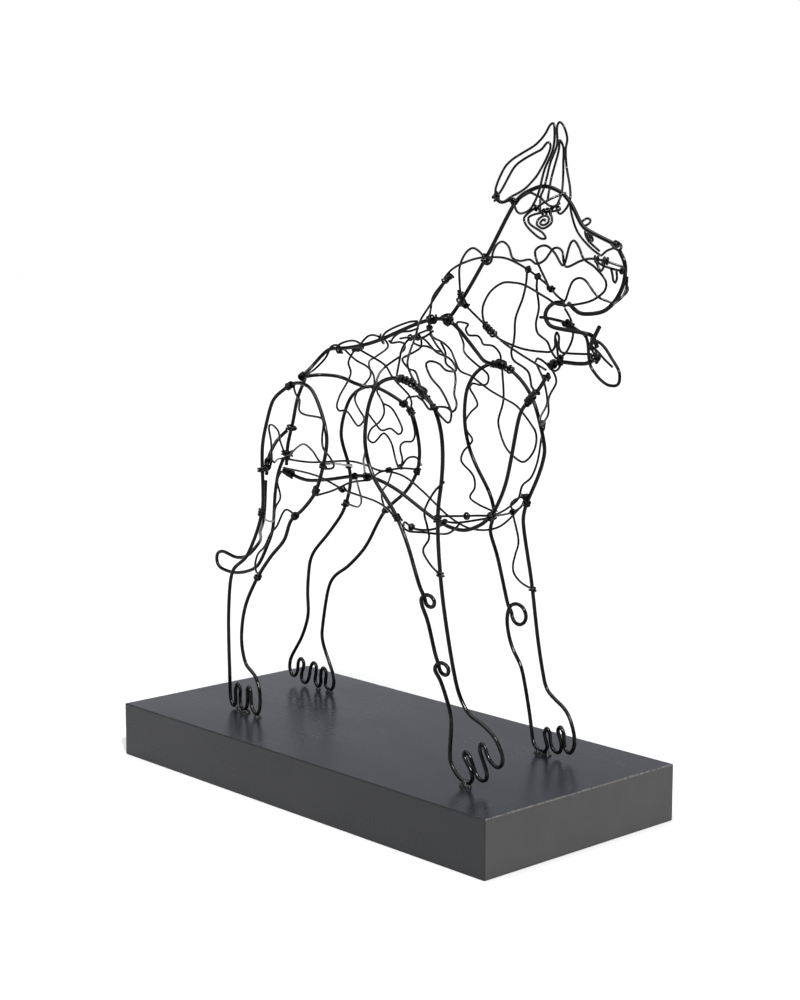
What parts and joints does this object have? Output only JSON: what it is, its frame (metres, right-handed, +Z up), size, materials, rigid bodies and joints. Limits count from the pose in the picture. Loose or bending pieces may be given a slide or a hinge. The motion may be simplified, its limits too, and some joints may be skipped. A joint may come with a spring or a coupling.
{
  "type": "wire dog sculpture",
  "caption": "Standing dog with upright ears, open mouth and looped tail, drawn in bent black wire and fixed by its feet to a rectangular block plinth.",
  "frame": {"origin": "centre of the plinth's underside", "axes": "+X to the dog's head along the plinth's length, +Y to the dog's left, +Z up"},
  "size_m": [0.3692, 0.159, 0.4108],
  "materials": {
    "black_wire": "gloss",
    "plinth_paint": "satin"
  },
  "bodies": {
    "root": {"back": "black_wire", "back_binding": "black_wire", "belly_and_chest": "black_wire", "belly_cross": "black_wire", "belly_loop": "black_wire", "breast_stay": "black_wire", "breast_wire": "black_wire", "brisket_bar": "black_wire", "brisket_brace": "black_wire", "brisket_sling": "black_wire", "cheek_line": "black_wire", "cheek_stay": "black_wire", "chin": "black_wire", "elbow_link": "black_wire", "face_loop": "black_wire", "face_wave": "black_wire", "haunch_arch": "black_wire", "hip_bar": "black_wire", "jaw_link": "black_wire", "jaw_stay": "black_wire", "left_belly_line": "black_wire", "left_brow": "black_wire", "left_ear": "black_wire", "left_eye": "black_wire", "left_forearm_wire": "black_wire", "left_front_leg": "black_wire", "left_hind_leg": "black_wire", "left_shoulder_fringe": "black_wire", "left_thigh_curl": "black_wire", "left_thigh_leaf": "black_wire", "lip_wave": "black_wire", "loin_hook": "black_wire", "loin_loop": "black_wire", "loin_stay": "black_wire", "lower_jaw": "black_wire", "muzzle": "black_wire", "neck": "black_wire", "plinth": "plinth_paint", "right_belly_line": "black_wire", "right_brow": "black_wire", "right_ear": "black_wire", "right_forearm_wire": "black_wire", "right_front_leg": "black_wire", "right_hind_leg": "black_wire", "right_hock_wire": "black_wire", "right_thigh_zigzag": "black_wire", "rump": "black_wire", "rump_loop": "black_wire", "rump_stay": "black_wire", "shoulder_brace": "black_wire", "shoulder_link": "black_wire", "shoulder_stay": "black_wire", "shoulder_stitch": "black_wire", "shoulder_sweep": "black_wire", "shoulder_zigzag": "black_wire", "tail": "black_wire", "tail_stay": "black_wire", "thigh_stay": "black_wire", "throat_line": "black_wire", "tongue": "black_wire"}
  },
  "joints": []
}
